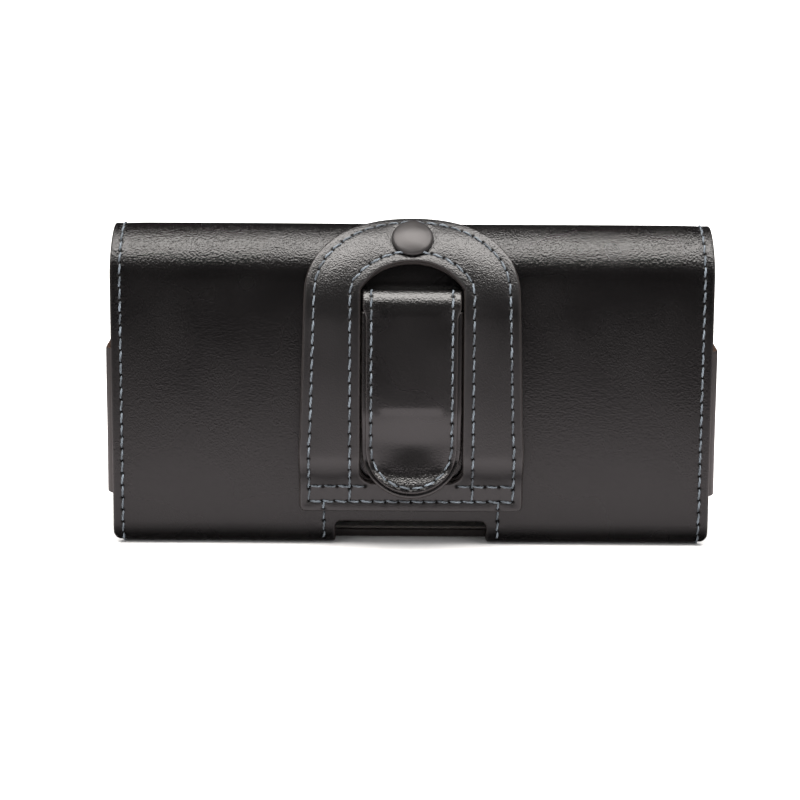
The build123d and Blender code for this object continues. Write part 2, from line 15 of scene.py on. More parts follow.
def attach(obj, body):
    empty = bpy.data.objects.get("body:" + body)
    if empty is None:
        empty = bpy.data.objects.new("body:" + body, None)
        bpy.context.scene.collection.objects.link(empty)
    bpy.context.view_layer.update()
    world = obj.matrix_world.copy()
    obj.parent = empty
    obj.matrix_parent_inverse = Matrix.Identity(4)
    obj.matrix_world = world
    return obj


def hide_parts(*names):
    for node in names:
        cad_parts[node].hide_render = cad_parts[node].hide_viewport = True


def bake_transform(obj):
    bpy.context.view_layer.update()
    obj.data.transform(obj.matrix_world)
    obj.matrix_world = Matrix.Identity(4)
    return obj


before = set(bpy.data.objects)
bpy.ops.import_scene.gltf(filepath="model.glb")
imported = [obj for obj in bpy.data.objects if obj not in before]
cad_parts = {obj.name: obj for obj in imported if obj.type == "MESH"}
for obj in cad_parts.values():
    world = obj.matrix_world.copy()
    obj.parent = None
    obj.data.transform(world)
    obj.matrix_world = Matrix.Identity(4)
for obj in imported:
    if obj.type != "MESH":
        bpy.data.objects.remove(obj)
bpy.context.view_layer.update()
MM = 0.001


# --- Section lines ---


def walk(point, heading, curve, length):
    """Points and headings at some length along a straight (curve 0) or an arc."""
    turned = heading + curve * length
    if curve == 0:
        steps = np.stack([length * math.cos(heading), length * math.sin(heading)], -1)
    else:
        steps = np.stack([np.sin(turned) - math.sin(heading), math.cos(heading) - np.cos(turned)], -1) / curve
    return point + steps, turned


class Path:
    """A line of straights and arcs in a plane, walked by length; its outer side is on the left."""

    def __init__(self, start, heading):
        self.end = np.array(start, float)
        self.heading = math.radians(heading)
        self.parts = []
        self.length = 0.0

    def _add(self, length, curve):
        self.parts.append((self.length, self.end, self.heading, curve))
        self.length += length
        self.end, self.heading = walk(self.end, self.heading, curve, length)
        return self

    def line(self, length):
        return self._add(length, 0.0)

    def arc(self, radius, turn):
        return self._add(radius * abs(math.radians(turn)), math.copysign(1 / radius, turn))

    def at(self, s):
        """Points and left-hand normals at lengths s."""
        s = np.asarray(s, float)
        starts = [part[0] for part in self.parts]
        index = np.clip(np.searchsorted(starts, s, side="right") - 1, 0, len(starts) - 1)
        points = np.zeros((len(s), 2))
        headings = np.zeros(len(s))
        for i, (first, point, heading, curve) in enumerate(self.parts):
            on = index == i
            points[on], headings[on] = walk(point, heading, curve, s[on] - first)
        return points, np.stack([-np.sin(headings), np.cos(headings)], 1)

    def under(self, s, depth):
        """Points at lengths s, moved to the inner side by a depth."""
        points, normals = self.at(s)
        return points - normals * np.asarray(depth, float).reshape(-1, 1)


def section(path):
    """Bends a sheet drawn in (x, s) along a line in the YZ plane."""

    def place(uv, depth):
        q = path.under(uv[:, 1], depth)
        return np.stack([uv[:, 0], q[:, 0], q[:, 1]], 1)

    return place


def plan(path, side):
    """Bends a sheet drawn in (z, s) along a line in the XY plane, on one side of the case."""

    def place(uv, depth):
        q = path.under(uv[:, 1], depth)
        return np.stack([side * q[:, 0], q[:, 1], uv[:, 0]], 1)

    return place


def shaped(place, form):
    """The same placing, moved outwards by a form that all layers share."""

    def moved(uv, depth):
        return place(uv, np.asarray(depth, float) - form(uv))

    return moved


# --- Forms ---


def smooth(t):
    """Eases from 0 to 1 as t does."""
    t = np.clip(t, 0, 1)
    return t * t * (3 - 2 * t)


def level(uv, groove=None):
    """A form that is 0 everywhere."""
    return np.zeros(len(uv))


def waves(scale, size, seed):
    """Slow unevenness of hand-worked leather."""
    rng = np.random.default_rng(seed)
    terms = [(rng.uniform(-1, 1), rng.uniform(-1, 1), rng.uniform(0, 6.28)) for _ in range(6)]

    def height(uv):
        total = sum(np.sin((uv[:, 0] * a + uv[:, 1] * b) / scale + c) for a, b, c in terms)
        return size * total / len(terms)

    return height


# --- Outlines ---


def run_length(points):
    """Length walked along a line up to each of its points."""
    steps = np.linalg.norm(np.diff(points, axis=0), axis=1)
    return np.concatenate([[0], np.cumsum(steps)])


def walked(points, run, lengths):
    """Points on a line at some lengths."""
    return np.stack([np.interp(lengths, run, points[:, k]) for k in (0, 1)], 1)


def resample(points, step, closed=True):
    """Points about a step apart along a line; corners sharper than 25 degrees stay."""
    points = np.array(points, float)
    if closed:
        points = np.vstack([points, points[:1]])
    last = len(points) - 1
    corners = [0]
    for i in range(1, last):
        a, b = points[i] - points[i - 1], points[i + 1] - points[i]
        turn = abs(math.atan2(a[0] * b[1] - a[1] * b[0], float(a @ b)))
        if turn > math.radians(25):
            corners.append(i)
    corners.append(last)
    run = run_length(points)
    parts = []
    for i, j in zip(corners, corners[1:]):
        length = run[j] - run[i]
        count = max(1, int(round(length / step)))
        parts.append(walked(points, run, run[i] + length * np.arange(count) / count))
    if not closed:
        parts.append(points[-1:])
    return np.vstack(parts)


def arc_points(center, radius, first, last, count):
    """Points on an arc between two angles in degrees."""
    angles = np.radians(np.linspace(first, last, count))
    return [(center[0] + radius * math.cos(a), center[1] + radius * math.sin(a)) for a in angles]


def mirrored(points):
    """An open line on the other side of x = 0, walked the other way."""
    return [(-x, t) for x, t in reversed(points)]


def anticlockwise(loop):
    """The closed loop, turned where it runs clockwise."""
    x, y = loop[:, 0], loop[:, 1]
    return loop if np.sum(x * np.roll(y, -1) - np.roll(x, -1) * y) > 0 else loop[::-1]


def outline(points, step):
    """The outer edge of a sheet."""
    return anticlockwise(resample(points, step))


def opening(points, step):
    """The edge of a hole in a sheet."""
    return outline(points, step)[::-1]


def inward(loop):
    """Mitred normals round a closed loop, pointing into the sheet."""
    before = loop - np.roll(loop, 1, axis=0)
    after = np.roll(loop, -1, axis=0) - loop
    a = np.stack([-before[:, 1], before[:, 0]], 1)
    b = np.stack([-after[:, 1], after[:, 0]], 1)
    a /= np.linalg.norm(a, axis=1)[:, None]
    b /= np.linalg.norm(b, axis=1)[:, None]
    n = a + b
    n /= np.linalg.norm(n, axis=1)[:, None]
    return n / np.clip((n * a).sum(1), 0.5, 1)[:, None]


def inside(points, loops):
    """Which points lie inside an odd number of the closed loops."""
    hit = np.zeros(len(points), bool)
    for loop in loops:
        for (x0, y0), (x1, y1) in zip(loop, np.roll(loop, -1, axis=0)):
            if y0 == y1:
                continue
            beside_edge = (points[:, 1] > min(y0, y1)) & (points[:, 1] <= max(y0, y1))
            x = x0 + (points[:, 1] - y0) * (x1 - x0) / (y1 - y0)
            hit ^= beside_edge & (points[:, 0] < x)
    return hit


FAR_AWAY = 1000.0
CHUNK = 400


def nearest(points, cloud):
    """Distance from each point to the nearest point of a cloud, which may be empty."""
    best = np.full(len(points), FAR_AWAY**2)
    for i in range(0, len(cloud), CHUNK):
        part = cloud[i : i + CHUNK]
        best = np.minimum(best, ((points[:, None, :] - part[None, :, :]) ** 2).sum(2).min(1))
    return np.sqrt(best)


def clear_of(points, cloud, gap):
    """The points further than a gap from a cloud."""
    return points[nearest(points, cloud) > gap]


# --- Rows of stitches ---

PITCH = 3.6
SHORTEST_STITCH = 0.8
# Rings of mesh points round a needle hole: radius and count.
HOLE_RINGS = ((0.3, 6), (0.56, 8), (0.8, 9))


def needle_holes(points, pitch=PITCH):
    """Evenly spaced needle holes along a row."""
    points = np.array(points, float)
    run = run_length(points)
    count = max(1, int(round(run[-1] / pitch)))
    return walked(points, run, run[-1] * np.arange(count + 1) / count)


def row_points(rows):
    """Points along some rows, and extra mesh points round their stitches and needle holes."""
    trail, extra = [], []
    for row in rows:
        for a, b in zip(row, row[1:]):
            length = np.linalg.norm(b - a)
            if length < 0.2:
                continue
            along = (b - a) / length
            side = np.array([-along[1], along[0]])
            trail += [a + (b - a) * t for t in np.linspace(0, 1, 9)]
            for t in (0.3, 0.5, 0.7):
                extra += [a + (b - a) * t + side * offset for offset in (-1.15, -0.5, 0, 0.5, 1.15)]
    for row in rows:
        for hole in row:
            extra.append(hole)
            for radius, count in HOLE_RINGS:
                extra += arc_points(hole, radius, 0, 360, count + 1)[:-1]
    return np.array(trail).reshape(-1, 2), np.array(extra).reshape(-1, 2)


# --- Meshes ---

# Edges that bend by more than this, in radians, are shaded sharp.
SHARP_EDGE = 1.0


def add_object(name, verts, faces, mats, slots=None, attrs=None):
    """An object from points in millimetres, smooth but for its sharp edges."""
    mesh = bpy.data.meshes.new(name)
    mesh.from_pydata([tuple(v) for v in np.asarray(verts) * MM], [], faces)
    for mat in mats:
        mesh.materials.append(mat)
    if slots is not None:
        mesh.polygons.foreach_set("material_index", slots)
    for key, values in (attrs or {}).items():
        layer = mesh.attributes.new(key, "FLOAT", "POINT")
        layer.data.foreach_set("value", np.asarray(values, np.float32))
    bm = bmesh.new()
    bm.from_mesh(mesh)
    bmesh.ops.recalc_face_normals(bm, faces=bm.faces)
    for face in bm.faces:
        face.smooth = True
    for edge in bm.edges:
        if len(edge.link_faces) == 2 and edge.calc_face_angle(0) > SHARP_EDGE:
            edge.smooth = False
    bm.to_mesh(mesh)
    bm.free()
    mesh.update()
    obj = bpy.data.objects.new(name, mesh)
    bpy.context.scene.collection.objects.link(obj)
    return obj


def tube_faces(rings, around, base=0):
    """Faces of a closed tube of rings of points."""
    faces = []
    for i in range(rings - 1):
        for k in range(around):
            p = base + i * around + k
            q = base + i * around + (k + 1) % around
            faces.append((p, q, q + around, p + around))
    faces.append(tuple(base + k for k in reversed(range(around))))
    faces.append(tuple(base + (rings - 1) * around + k for k in range(around)))
    return faces


def staggered_grid(low, high, step):
    """Points of nearly equal triangles over a box."""
    rows = []
    y = low[1] + 0.3
    while y < high[1]:
        start = low[0] + (step / 2 if len(rows) % 2 else 0.2)
        xs = np.arange(start, high[0], step)
        rows.append(np.stack([xs, np.full(len(xs), y)], 1))
        y += step * 0.866
    return np.vstack(rows)


def field_points(loops, normals, radii, rows, step):
    """The sheet's loops inside its rounded edges, the mesh points of its flat face, and its rows.

    The points start with those loops. The others keep clear of the loops and the rows, so that no triangle
    is a sliver, but for the extra points that belong to the rows.
    """
    inner = [loop + n * r[:, None] for loop, n, r in zip(loops, normals, radii)]
    ring = np.vstack(inner)
    trail, extra = row_points(rows)
    every = np.vstack(loops)
    grid = staggered_grid(every.min(0), every.max(0), step)
    grid = grid[inside(grid, inner)]
    grid = clear_of(clear_of(grid, ring, 0.6 * step), trail, 1.5)
    band = []
    for loop, n, r in zip(loops, normals, radii):
        for d in (0.7, 1.6):
            band.append((loop + n * (r[:, None] + d))[::2])
    band = np.vstack(band)
    band = band[inside(band, inner)]
    band = clear_of(clear_of(band, ring, 0.5), trail, 1.3)
    extra = extra[inside(extra, inner)]
    extra = clear_of(extra, ring, 0.2)
    return inner, np.vstack([ring, grid, band, extra]), trail


def triangulate(points, loops):
    """Triangles between closed loops, whose points come first, and the new number of each point."""
    edges = []
    base = 0
    for loop in loops:
        n = len(loop)
        edges += [(base + i, base + (i + 1) % n) for i in range(n)]
        base += n
    out = geometry.delaunay_2d_cdt([Vector(p) for p in points], edges, [], 0, 1e-5)
    flat = np.array([tuple(v) for v in out[0]])
    faces = np.array(out[2], int).reshape(-1, 3)
    number = {old: new for new, olds in enumerate(out[3]) for old in olds}
    faces = faces[inside(flat[faces].mean(1), loops)]
    a, b, c = (flat[faces[:, k]] for k in range(3))
    twice_area = np.abs((b - a)[:, 0] * (c - a)[:, 1] - (b - a)[:, 1] * (c - a)[:, 0])
    return flat, faces[twice_area > 1e-7], number


def rim_rings(loop, normals, radii, near, far, height):
    """Rings of (points, depths) round a rounded edge, from the near face to the far face."""
    angles = np.radians((22.5, 45, 67.5, 90))
    rings = []
    for a in angles:
        out = loop + normals * (radii * (1 - math.sin(a)))[:, None]
        rings.append((out, near + radii * (1 - math.cos(a)) - height * math.cos(a)))
    for a in angles[::-1]:
        out = loop + normals * (radii * (1 - math.sin(a)))[:, None]
        rings.append((out, far - radii * (1 - math.cos(a))))
    rings.append((loop + normals * radii[:, None], np.full(len(loop), far)))
    return rings


# Material slots of a sheet, and those of the nine bands of its rounded edge.
NEAR_SLOT, EDGE_SLOT, FAR_SLOT = 0, 1, 2
RIM_SLOTS = (NEAR_SLOT,) * 2 + (EDGE_SLOT,) * 6 + (FAR_SLOT,)
GROOVE_DEPTH, GROOVE_WIDTH = 0.16, 0.6
# Needle holes: depth and radius of the dimple, and reach and fade of the shade painted into them.
HOLE_DEPTH, HOLE_RADIUS, HOLE_SHADE_REACH, HOLE_SHADE_FADE = 0.7, 0.58, 0.88, 0.45
RUBBED_WIDTH = 0.8


class Skin:
    """The points and faces of a sheet while it is built."""

    def __init__(self):
        self.points, self.faces, self.slots = [], [], []
        self.attrs = {"prick": [], "rim": [], "bend": []}
        self.count = 0

    def add_points(self, points, **values):
        """Adds points with their attributes, 0 where none is given, and returns their numbers."""
        self.points.append(points)
        for key, parts in self.attrs.items():
            parts.append(np.broadcast_to(values.get(key, 0.0), len(points)))
        self.count += len(points)
        return list(range(self.count - len(points), self.count))

    def add_faces(self, faces, slot):
        self.faces += [tuple(face) for face in faces]
        self.slots += [slot] * len(faces)

    def add_ring(self, before, after, slot):
        """Faces between two rings of points, given by their numbers."""
        n = len(before)
        turn = [(i + 1) % n for i in range(n)]
        self.add_faces([(before[i], before[j], after[j], after[i]) for i, j in enumerate(turn)], slot)

    def make(self, name, mats):
        attrs = {key: np.concatenate(parts) for key, parts in self.attrs.items()}
        return add_object(name, np.vstack(self.points), self.faces, mats, self.slots, attrs)


def sheet(
    name, place, loops, near, far, mats, rows=(), relief=level, under=level, bend=level, butt=level,
    step=2.0, round_r=0.55,
):
    """A sheet between two depths with rounded edges, and needle holes and a groove along each row.

    The materials are those of its near face, its cut edge and its far face. The relief raises the near face,
    under lowers the far face, bend says how far the grain is opened, and butt says which edge points meet
    another sheet and stay square. The step is the size of the mesh.
    """
    normals = [inward(loop) for loop in loops]
    radii = [np.where(butt(loop), 0.0, round_r) for loop in loops]
    inner, points, trail = field_points(loops, normals, radii, rows, step)
    flat, faces, number = triangulate(points, inner)
    groove = nearest(flat, trail)
    prick = nearest(flat, np.vstack(rows) if rows else ())
    height = relief(flat, groove)
    height = height - GROOVE_DEPTH * np.exp(-((groove / GROOVE_WIDTH) ** 2))
    height = height - HOLE_DEPTH * smooth(1 - prick / HOLE_RADIUS)

    skin = Skin()
    # prick marks the needle holes, where the leather paints shade and is rougher.
    skin.add_points(
        place(flat, near - height),
        prick=smooth((HOLE_SHADE_REACH - prick) / HOLE_SHADE_FADE),
        rim=np.exp(-nearest(flat, np.vstack(loops)) / RUBBED_WIDTH),
        bend=bend(flat),
    )
    skin.add_faces(faces.tolist(), NEAR_SLOT)
    far_number = {}
    start = 0
    for loop, n, r in zip(loops, normals, radii):
        first = [number[start + i] for i in range(len(loop))]
        start += len(loop)
        before = first
        for (uv, depth), slot in zip(rim_rings(loop, n, r, near, far, height[first]), RIM_SLOTS):
            now = skin.add_points(place(uv, depth), rim=1.0, bend=bend(loop))
            skin.add_ring(before, now, slot)
            before = now
        far_number.update(zip(first, before))
    free = [i for i in range(len(flat)) if i not in far_number]
    far_number.update(zip(free, skin.add_points(place(flat[free], far + under(flat[free])))))
    skin.add_faces([[far_number[v] for v in reversed(face)] for face in faces.tolist()], FAR_SLOT)
    return skin.make(name, mats)


STITCH_RADIUS = 0.29
STITCH_AROUND, STITCH_RINGS = 8, 11
STITCH_SLANT, STITCH_LIFT, STITCH_SINK = 0.17, 0.12, 0.55
TWIST_RATE, PLY_BULGE, FLATTENED = 7.5, 0.17, 0.82


def one_stitch(place, a, b, near, face, rng):
    """Points round one stitch between two holes, and how far each lies on the crest of a ply."""
    along = (b - a) / np.linalg.norm(b - a)
    side = np.array([-along[1], along[0]])
    slant = STITCH_SLANT + rng.normal(0, 0.05)
    lift = STITCH_LIFT + rng.normal(0, 0.03)
    twist = rng.uniform(0, 6.28)
    thick = STITCH_RADIUS * (1 + rng.normal(0, 0.05))

    t = np.linspace(0, 1, STITCH_RINGS)
    swell = np.sqrt(np.clip(np.sin(math.pi * t), 0, 1))
    uv = a + np.outer(0.09 + 0.82 * t, b - a) + (slant * (1 - 2 * t))[:, None] * side
    rise = (STITCH_SINK + lift) * swell - STITCH_SINK
    middle = place(uv, near - face * rise)
    up = place(uv, near - face * (rise + 1.0)) - middle
    tangent = np.gradient(middle, axis=0)
    tangent /= np.linalg.norm(tangent, axis=1)[:, None]
    up -= (up * tangent).sum(1)[:, None] * tangent
    up /= np.linalg.norm(up, axis=1)[:, None]
    across = np.cross(tangent, up)

    angle = 2 * math.pi * np.arange(STITCH_AROUND) / STITCH_AROUND
    crest = np.cos(2 * (angle[None, :] - twist - TWIST_RATE * t[:, None]))
    size = thick * (0.72 + 0.28 * swell)[:, None] * (1 + PLY_BULGE * crest)
    wide = np.cos(angle)[None, :, None] * across[:, None, :]
    tall = FLATTENED * np.sin(angle)[None, :, None] * up[:, None, :]
    points = middle[:, None, :] + size[:, :, None] * (wide + tall)
    return points.reshape(-1, 3), (0.5 + 0.5 * crest).ravel()


def stitches(name, place, rows, mat, seed, near=0.0, face=1):
    """Separate two-ply stitches from hole to hole, each dipping into the leather at its ends.

    A face of 1 lays them on the outer side of depth near, and -1 on its inner side.
    """
    rng = np.random.default_rng(seed)
    verts, faces, plies = [], [], []
    for row in rows:
        for a, b in zip(row, row[1:]):
            if np.linalg.norm(b - a) < SHORTEST_STITCH:
                continue
            points, ply = one_stitch(place, a, b, near, face, rng)
            faces += tube_faces(STITCH_RINGS, STITCH_AROUND, len(verts) * len(points))
            verts.append(points)
            plies.append(ply)
    return add_object(name, np.vstack(verts), faces, [mat], attrs={"ply": np.concatenate(plies)})


def lathe(name, profile, origin, axis, mat, around=64):
    """Turns a profile of (radius, height) about an axis square to X."""
    e1 = np.array([1.0, 0, 0])
    e2 = np.cross(axis, e1)
    verts = []
    for radius, height in profile:
        for k in range(around):
            a = 2 * math.pi * k / around
            verts.append(origin + axis * height + radius * (math.cos(a) * e1 + math.sin(a) * e2))
    return add_object(name, verts, tube_faces(len(profile), around), [mat])


# --- Materials ---


def node(tree, kind, inputs=None, **props):
    """A shader node, with its inputs linked or set."""
    n = tree.nodes.new(kind)
    for key, value in props.items():
        setattr(n, key, value)
    for key, value in (inputs or {}).items():
        if hasattr(value, "links"):
            tree.links.new(value, n.inputs[key])
        else:
            n.inputs[key].default_value = value
    return n


def new_material(name):
    """A node material: itself, its tree, its shader and its object coordinates."""
    mat = bpy.data.materials.new(name)
    mat.use_nodes = True
    tree = mat.node_tree
    where = node(tree, "ShaderNodeTexCoord").outputs["Object"]
    return mat, tree, tree.nodes["Principled BSDF"], where


def ramp(tree, fac, low, high, a, b, kind="LINEAR"):
    """Maps low..high to a..b."""
    inputs = {"Value": fac, "From Min": low, "From Max": high, "To Min": a, "To Max": b}
    return node(tree, "ShaderNodeMapRange", inputs, interpolation_type=kind).outputs["Result"]


def maths(tree, operation, a, b=0.0):
    return node(tree, "ShaderNodeMath", {0: a, 1: b}, operation=operation).outputs[0]


def vector(tree, operation, a, b=(0, 0, 0), c=(0, 0, 0), out="Vector"):
    return node(tree, "ShaderNodeVectorMath", {0: a, 1: b, 2: c}, operation=operation).outputs[out]


def attribute(tree, name):
    return node(tree, "ShaderNodeAttribute", attribute_name=name).outputs["Fac"]


def noise(tree, where, scale, detail, roughness=0.5, out="Fac"):
    inputs = {"Vector": where, "Scale": scale, "Detail": detail, "Roughness": roughness}
    return node(tree, "ShaderNodeTexNoise", inputs).outputs[out]


def rgba(color, factor=1.0):
    return [c * factor for c in color] + [1]


def blend_color(tree, fac, a, b):
    """Color a where fac is 0 and b where it is 1."""
    return node(tree, "ShaderNodeMix", {0: fac, 6: a, 7: b}, data_type="RGBA").outputs[2]


def bump(tree, height, strength, distance, normal=None):
    inputs = {"Height": height, "Strength": strength, "Distance": distance}
    if normal is not None:
        inputs["Normal"] = normal
    return node(tree, "ShaderNodeBump", inputs).outputs[0]


def leather(name, base, rough, grain=1.0, cell=0.45, shine=0.75):
    """Dyed leather: pebbled grain that opens where it bends, pores, rubbed edges, and painted shade in the
    needle holes.

    The cell is the size of a pebble in millimetres.
    """
    mat, tree, bsdf, where = new_material(name)
    warp = noise(tree, where, 700.0, 2.0, out="Color")
    warped = vector(tree, "MULTIPLY_ADD", warp, (0.0006, 0.0006, 0.0006), where)
    cells = {"Vector": warped, "Scale": 1000.0 / cell}
    pebble = node(tree, "ShaderNodeTexVoronoi", cells, feature="SMOOTH_F1").outputs["Distance"]
    pore = noise(tree, where, 2600.0, 3.0, 0.6)
    slow = noise(tree, where, 60.0, 1.0)
    prick = attribute(tree, "prick")
    rim = attribute(tree, "rim")
    opened = attribute(tree, "bend")
    tint = blend_color(tree, ramp(tree, slow, 0.35, 0.7, 0, 1), rgba(base), rgba(base, 1.5))
    tint = blend_color(tree, ramp(tree, rim, 0.35, 1.0, 0, 0.8), tint, rgba((0.02, 0.018, 0.018)))
    # Painted shade: the needle holes are darkened to near black.
    tint = blend_color(tree, prick, tint, rgba((0.001, 0.001, 0.001)))
    tree.links.new(tint, bsdf.inputs["Base Color"])
    gloss = ramp(tree, slow, 0.3, 0.7, rough - 0.02, rough + 0.04)
    gloss = maths(tree, "ADD", gloss, ramp(tree, prick, 0, 1, 0, 0.5))
    tree.links.new(gloss, bsdf.inputs["Roughness"])
    bsdf.inputs["Specular IOR Level"].default_value = shine
    pebbled = ramp(tree, opened, 0, 1, 0.18 * grain, 1.0 * grain)
    pored = ramp(tree, opened, 0, 1, 0.35 * grain, 0.95 * grain)
    normal = bump(tree, pebble, pebbled, 0.00045 * cell)
    normal = bump(tree, pore, pored, 0.00006, normal)
    normal = bump(tree, slow, 0.07, 0.0006, normal)
    tree.links.new(normal, bsdf.inputs["Normal"])
    return mat


def edge_paint(name, base):
    """Painted and burnished cut edge, with faint runs along it."""
    mat, tree, bsdf, where = new_material(name)
    runs = noise(tree, where, 600.0, 3.0)
    tree.links.new(blend_color(tree, runs, rgba(base, 0.6), rgba(base, 1.5)), bsdf.inputs["Base Color"])
    bsdf.inputs["Roughness"].default_value = 0.38
    tree.links.new(bump(tree, runs, 0.4, 0.0001), bsdf.inputs["Normal"])
    return mat


def nap(name, base):
    """Suede nap: matt, cloudy, with a soft sheen."""
    mat, tree, bsdf, where = new_material(name)
    cloud = noise(tree, where, 160.0, 4.0)
    fuzz = noise(tree, where, 3500.0, 2.0)
    tree.links.new(blend_color(tree, cloud, rgba(base, 0.65), rgba(base, 1.35)), bsdf.inputs["Base Color"])
    bsdf.inputs["Roughness"].default_value = 0.95
    bsdf.inputs["Sheen Weight"].default_value = 0.4
    tree.links.new(bump(tree, fuzz, 0.7, 0.0002), bsdf.inputs["Normal"])
    return mat


def waxed_thread(name, base):
    """Twisted waxed thread, with painted shade between its plies."""
    mat, tree, bsdf, where = new_material(name)
    ply = attribute(tree, "ply")
    wear = noise(tree, where, 330.0, 3.0)
    fibre = noise(tree, where, 5000.0, 1.0)
    tint = blend_color(tree, ramp(tree, wear, 0.4, 0.64, 0, 1), rgba(base, 0.5), rgba(base, 1.35))
    # Painted shade: the thread is darkened between the crests of its plies.
    tint = blend_color(tree, ramp(tree, ply, 0.0, 0.55, 0.6, 0.0), tint, rgba((0.03, 0.035, 0.045)))
    tree.links.new(tint, bsdf.inputs["Base Color"])
    bsdf.inputs["Roughness"].default_value = 0.55
    tree.links.new(bump(tree, fibre, 0.5, 0.00008), bsdf.inputs["Normal"])
    return mat


def metal(name, base, rough, metallic=1.0, scratch=0.3):
    """Worked metal with fine scratches and uneven polish."""
    mat, tree, bsdf, where = new_material(name)
    haze = noise(tree, where, 300.0, 4.0)
    fine = noise(tree, where, 4000.0, 1.0)
    tree.links.new(blend_color(tree, haze, rgba(base, 0.8), rgba(base, 1.15)), bsdf.inputs["Base Color"])
    bsdf.inputs["Metallic"].default_value = metallic
    tree.links.new(ramp(tree, haze, 0.3, 0.7, rough * 0.85, rough * 1.2), bsdf.inputs["Roughness"])
    tree.links.new(bump(tree, fine, scratch, 0.00004), bsdf.inputs["Normal"])
    return mat


hide = leather("hide_grain", (0.003, 0.0027, 0.0028), 0.26, shine=0.6)
plate_hide = leather("plate_grain", (0.005, 0.0045, 0.0048), 0.32, grain=0.8, cell=0.42, shine=0.8)
clip_hide = leather("clip_grain", (0.004, 0.0036, 0.0038), 0.27, grain=0.6, cell=0.42, shine=0.82)
flesh = leather("flesh_side", (0.012, 0.0103, 0.0095), 0.75, grain=0.7, cell=0.5)
gusset_hide = leather("gusset_grain", (0.02, 0.016, 0.015), 0.45)
paint = edge_paint("edge_black", (0.022, 0.018, 0.017))
gusset_paint = edge_paint("edge_brown", (0.07, 0.04, 0.028))
suede = nap("lining_suede", (0.085, 0.076, 0.07))
thread = waxed_thread("thread_blue_grey", (0.138, 0.162, 0.187))
gunmetal = metal("cap_gunmetal", (0.05, 0.047, 0.047), 0.36, metallic=0.45)
nickel = metal("nickel", (0.33, 0.315, 0.3), 0.36)
steel = metal("spring_steel", (0.42, 0.42, 0.44), 0.35, scratch=0.6)

HIDE_MATS = [hide, paint, flesh]
PLATE_MATS = [plate_hide, paint, flesh]
CLIP_MATS = [clip_hide, paint, flesh]

# --- The hide: from the pocket's mouth down the front, under, up the back, over the roll, to the tip ---

HALF_WIDTH = 85.0
ROLL_RADIUS = 13.7
BASE_RADIUS = 6.0
ROLL_Y, ROLL_Z = 1.7, 76.8
POCKET_MOUTH = (12, 68)
POCKET_DEPTH, BASE_WIDTH, BACK_HEIGHT, FLAP_DROP = 62.0, 12.0, 70.8, 48.8
HIDE_THICKNESS, LINING_DEPTH = 2.3, 3.0
STITCH_INSET = 2.8
wrap = Path(POCKET_MOUTH, -90)
wrap.line(POCKET_DEPTH).arc(BASE_RADIUS, -90).line(BASE_WIDTH).arc(BASE_RADIUS, -90)
wrap.line(BACK_HEIGHT).arc(ROLL_RADIUS, -180).line(FLAP_DROP)
base_turn = BASE_RADIUS * math.pi / 2
# Lengths of the seam, the foot of the back, the roll's start, the back panel's end, the roll's end, the tip.
s_seam = POCKET_DEPTH + base_turn + 1
s_back = POCKET_DEPTH + 2 * base_turn + BASE_WIDTH
s_roll = s_back + BACK_HEIGHT
s_join = s_roll + ROLL_RADIUS * math.radians(108)
s_front = s_roll + ROLL_RADIUS * math.pi
s_tip = wrap.length
on_wrap = shaped(section(wrap), waves(14.0, 0.16, 3))


def roll_draw(s):
    """How far the wrap's ends draw in where it is bent over the roll."""
    turned = np.clip((s - s_roll) / ROLL_RADIUS, 0, math.pi)
    return 0.45 * np.sin(turned) ** 2


def wrap_side(s):
    """Right-hand edge of the wrap: its corners are eased where it turns under."""
    corner = 3.0
    z = wrap.at(s)[0][:, 1]
    ease = np.clip(corner - z, 0, corner)
    half = HALF_WIDTH - corner + np.sqrt(corner**2 - ease**2)
    return list(zip(half - roll_draw(s), s))


def stitch_side(s):
    """The row of stitches inside the right-hand edge."""
    return list(zip(HALF_WIDTH - STITCH_INSET - roll_draw(s), s))


def millimetre_steps(s0, s1):
    """Lengths about a millimetre apart."""
    return np.linspace(s0, s1, int(s1 - s0))


def hide_relief(uv, groove):
    """The field puffed up a little between the rows of stitches."""
    return 0.1 * smooth((groove - 0.8) / 5)


def wrap_bend(uv):
    """1 on the roll, where the leather is stretched, fading to 0 on the flats."""
    s = uv[:, 1]
    return smooth((s - s_roll + 2) / 12) * smooth((s_front + 6 - s) / 12)


ON_EDGE = 1e-3


def meets_after_front(uv):
    """Edge points where the pocket front meets the back panel."""
    return uv[:, 1] > s_seam - ON_EDGE


def meets_round_back(uv):
    """Edge points where the back panel meets the pocket front and the flap."""
    return (uv[:, 1] < s_seam + ON_EDGE) | (uv[:, 1] > s_join - ON_EDGE)


def meets_before_flap(uv):
    """Edge points where the flap meets the back panel."""
    return uv[:, 1] < s_join + ON_EDGE


def hide_sheet(name, loops, rows, butt, bend):
    return sheet(
        name, on_wrap, loops, 0, HIDE_THICKNESS, HIDE_MATS, rows, relief=hide_relief, bend=bend, butt=butt
    )


def lining(name, loops, butt):
    """Suede just inside the hide."""
    shrunk = []
    for loop in loops:
        n = inward(loop)
        n[butt(loop)] = 0
        shrunk.append(loop + n * 0.4)
    return sheet(
        name, on_wrap, shrunk, HIDE_THICKNESS + 0.02, LINING_DEPTH, [suede] * 3,
        under=waves(9.0, 0.06, 5), butt=butt, step=2.6, round_r=0.3,
    )


# Pocket front: from the mouth to the seam under the bottom.
side = wrap_side(millimetre_steps(0, s_seam))
front_loop = outline(mirrored(side) + side, 1.2)
stitch_x = HALF_WIDTH - STITCH_INSET
front_rows = [needle_holes([(x, STITCH_INSET), (x, s_seam - 0.4)]) for x in (-stitch_x, stitch_x)]
front_rows.append(needle_holes([(-stitch_x, STITCH_INSET), (stitch_x, STITCH_INSET)]))
hide_front = hide_sheet("hide_front", [front_loop], front_rows, meets_after_front, level)

